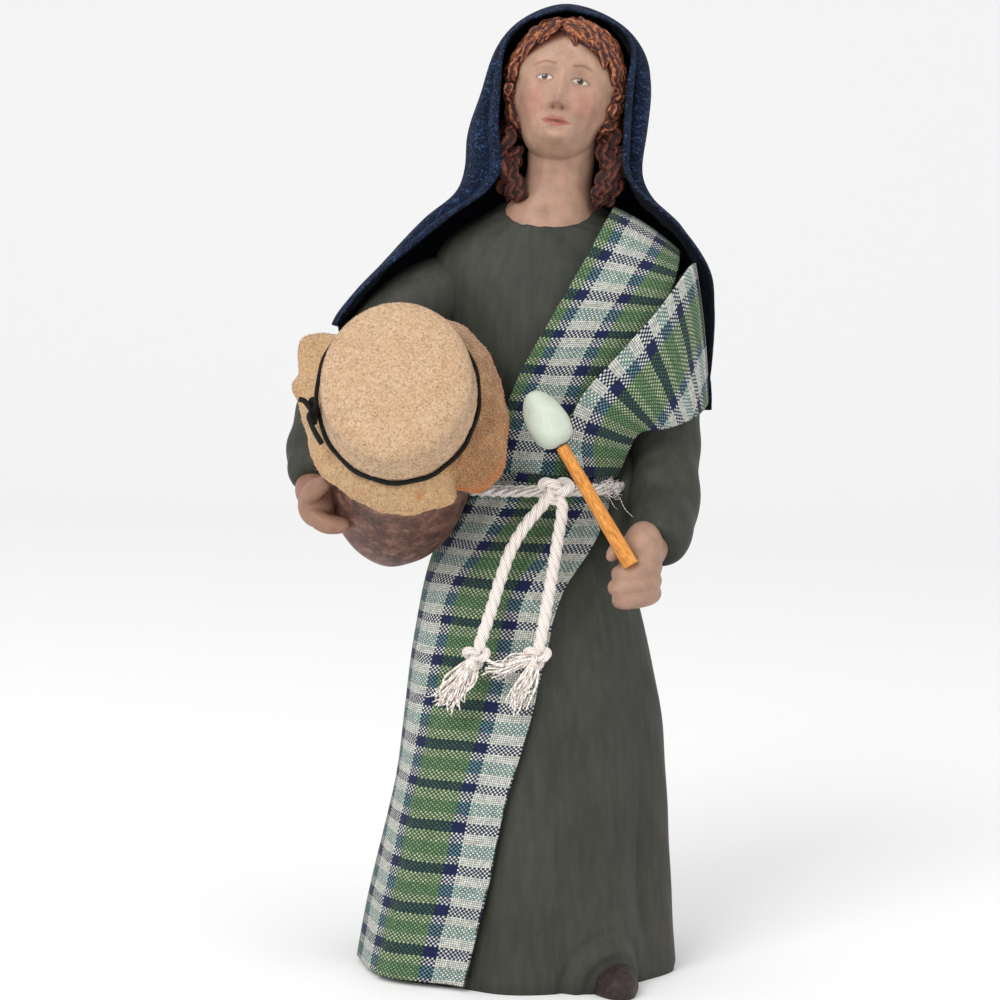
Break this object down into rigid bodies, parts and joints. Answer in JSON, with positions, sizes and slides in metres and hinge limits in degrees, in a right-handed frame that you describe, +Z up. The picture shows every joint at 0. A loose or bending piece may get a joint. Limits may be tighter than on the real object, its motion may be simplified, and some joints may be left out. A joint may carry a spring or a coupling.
{
  "type": "nativity figure",
  "caption": "Standing painted clay figure of a young drummer in a robe, with cloth headcloth, plaid sash, rope belt, hide drum and mallet; stands on its flat hem.",
  "frame": {"origin": "centre of the flat underside of the hem, on the surface the figure stands on", "axes": "+Z up, the figure faces -Y, +X to the viewer's right"},
  "size_m": [0.0918, 0.0754, 0.2067],
  "materials": {
    "painted_clay": "painted clay, matt, dark olive robe",
    "navy_cotton": "navy cotton printed with fine pale blue flecks",
    "plaid_cotton": "plain weave plaid of navy, white, teal and green",
    "white_rope": "satin twisted rope",
    "brown_clay": "painted clay, mottled brown",
    "suede": "thin tan suede, stained at the edge",
    "black_cord": "waxed black cord",
    "wood": "stained golden wood",
    "pale_paint": "pale grey-green paint"
  },
  "bodies": {
    "root": {"figure": "painted_clay", "headcloth": "navy_cotton", "plaid_sash": "plaid_cotton", "belt_cord": "white_rope", "belt_tail_left": "white_rope", "belt_tail_right": "white_rope", "tail_knot_left": "white_rope", "tail_knot_right": "white_rope", "drum_body": "brown_clay", "drum_skin": "suede", "drum_tie": "black_cord", "mallet_stick": "wood", "mallet_head": "pale_paint"}
  },
  "joints": []
}
